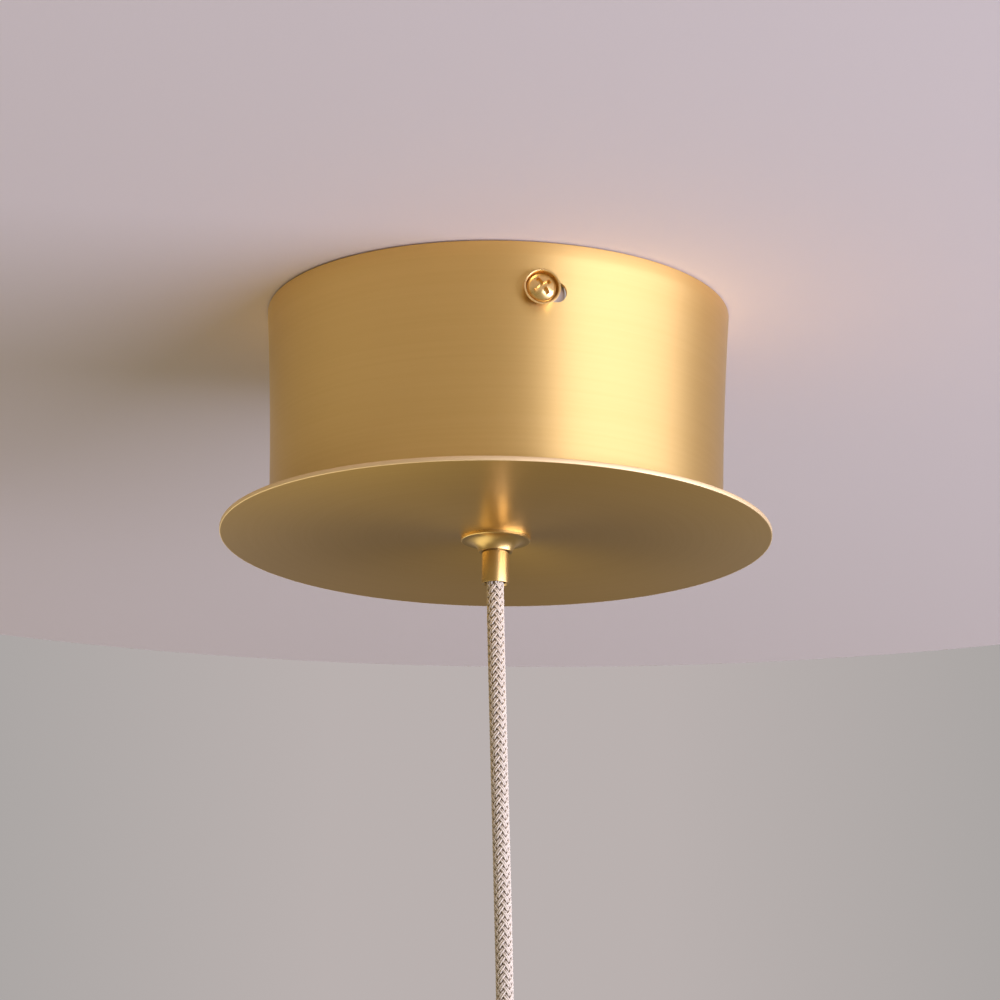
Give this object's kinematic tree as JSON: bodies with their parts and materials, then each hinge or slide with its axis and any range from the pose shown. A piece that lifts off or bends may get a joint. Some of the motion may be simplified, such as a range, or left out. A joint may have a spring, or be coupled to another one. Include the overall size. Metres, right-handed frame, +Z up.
{
  "type": "rise and fall pendant",
  "caption": "Ceiling end of a pendant light: flared drum canopy on a wider disc, side screws in slots, trumpet gland with a cord clamp, and a braided cord that can be drawn up.",
  "frame": {"origin": "middle of the ceiling bracket's upper face, on the ceiling", "axes": "+Z up into the ceiling, Y along the bracket, -Y towards the side screw that the picture shows"},
  "size_m": [0.12, 0.12, 0.1864],
  "materials": {
    "satin_brass": "satin, brushed round the drum and spun on the disc",
    "polished_brass": "polished",
    "zinc_steel": "bright zinc plate",
    "terminal_brass": "drawn",
    "tinned_copper": "tinned",
    "nylon": "moulded",
    "terminal_plastic": "moulded",
    "cord_braid": "silky braid",
    "live_insulation": "extruded",
    "neutral_insulation": "extruded",
    "earth_insulation": "extruded, green with a yellow stripe"
  },
  "bodies": {
    "ceiling_bracket": {"ceiling_bracket": "zinc_steel", "lug_nuts": "zinc_steel"},
    "canopy": {"canopy_cup": "satin_brass", "base_disc": "satin_brass", "cord_gland": "polished_brass", "gland_washer": "zinc_steel", "gland_nut": "zinc_steel", "terminal_housing": "terminal_plastic", "terminal_sleeves": "terminal_brass", "terminal_screws": "zinc_steel", "terminal_studs": "zinc_steel", "terminal_nuts": "zinc_steel", "earth_ring": "tinned_copper", "earth_stud": "zinc_steel", "earth_washer": "zinc_steel", "earth_nut": "zinc_steel", "cord_inner": "cord_braid", "cord_hanging": "cord_braid", "live_core": "live_insulation", "neutral_core": "neutral_insulation", "earth_core": "earth_insulation", "earth_lead": "earth_insulation"},
    "side_washer_front": {"side_washer_front": "polished_brass"},
    "side_screw_front": {"side_screw_front": "polished_brass"},
    "side_washer_rear": {"side_washer_rear": "polished_brass"},
    "side_screw_rear": {"side_screw_rear": "polished_brass"},
    "clamp_collet": {"clamp_collet": "nylon"},
    "clamp_ferrule": {"clamp_ferrule": "polished_brass"},
    "lamp_end": {"lamp_ferrule": "polished_brass", "lamp_collet": "nylon", "lamp_grip": "polished_brass", "lamp_nipple": "zinc_steel", "lamp_washer": "zinc_steel", "lamp_nut": "zinc_steel", "cord_tail": "cord_braid"}
  },
  "joints": [
    {"name": "cup_turn", "type": "hinge", "parent": "ceiling_bracket", "child": "canopy", "pos_m": [0, 0, -0.011], "axis": [0, 0, 1], "range_deg": [-3.8, 0]},
    {"name": "front_screw_travel", "type": "slide", "parent": "ceiling_bracket", "child": "side_washer_front", "axis": [0, -1, 0], "range_m": [-0.0011, 0.0055]},
    {"name": "front_screw_turn", "type": "hinge", "parent": "side_washer_front", "child": "side_screw_front", "pos_m": [0, -0.052, -0.011], "axis": [0, -1, 0], "range_deg": [-566, 2830]},
    {"name": "rear_screw_travel", "type": "slide", "parent": "ceiling_bracket", "child": "side_washer_rear", "axis": [0, 1, 0], "range_m": [-0.0011, 0.0055]},
    {"name": "rear_screw_turn", "type": "hinge", "parent": "side_washer_rear", "child": "side_screw_rear", "pos_m": [0, 0.052, -0.011], "axis": [0, 1, 0], "range_deg": [-566, 2830]},
    {"name": "clamp_travel", "type": "slide", "parent": "canopy", "child": "clamp_collet", "axis": [0, 0, -1], "range_m": [0, 0.003]},
    {"name": "ferrule_turn", "type": "hinge", "parent": "clamp_collet", "child": "clamp_ferrule", "pos_m": [0, 0, -0.0575], "axis": [0, 0, -1], "range_deg": [0, 1441]},
    {"name": "cord_rise", "type": "slide", "parent": "canopy", "child": "lamp_end", "axis": [0, 0, 1], "range_m": [0, 0.06], "deforming": ["cord_hanging"]}
  ],
  "couplings": [
    {"joint": "front_screw_turn", "follows": "front_screw_travel", "rad_per_m": 8976},
    {"joint": "rear_screw_turn", "follows": "rear_screw_travel", "rad_per_m": 8976},
    {"joint": "ferrule_turn", "follows": "clamp_travel", "rad_per_m": 8377.6}
  ]
}
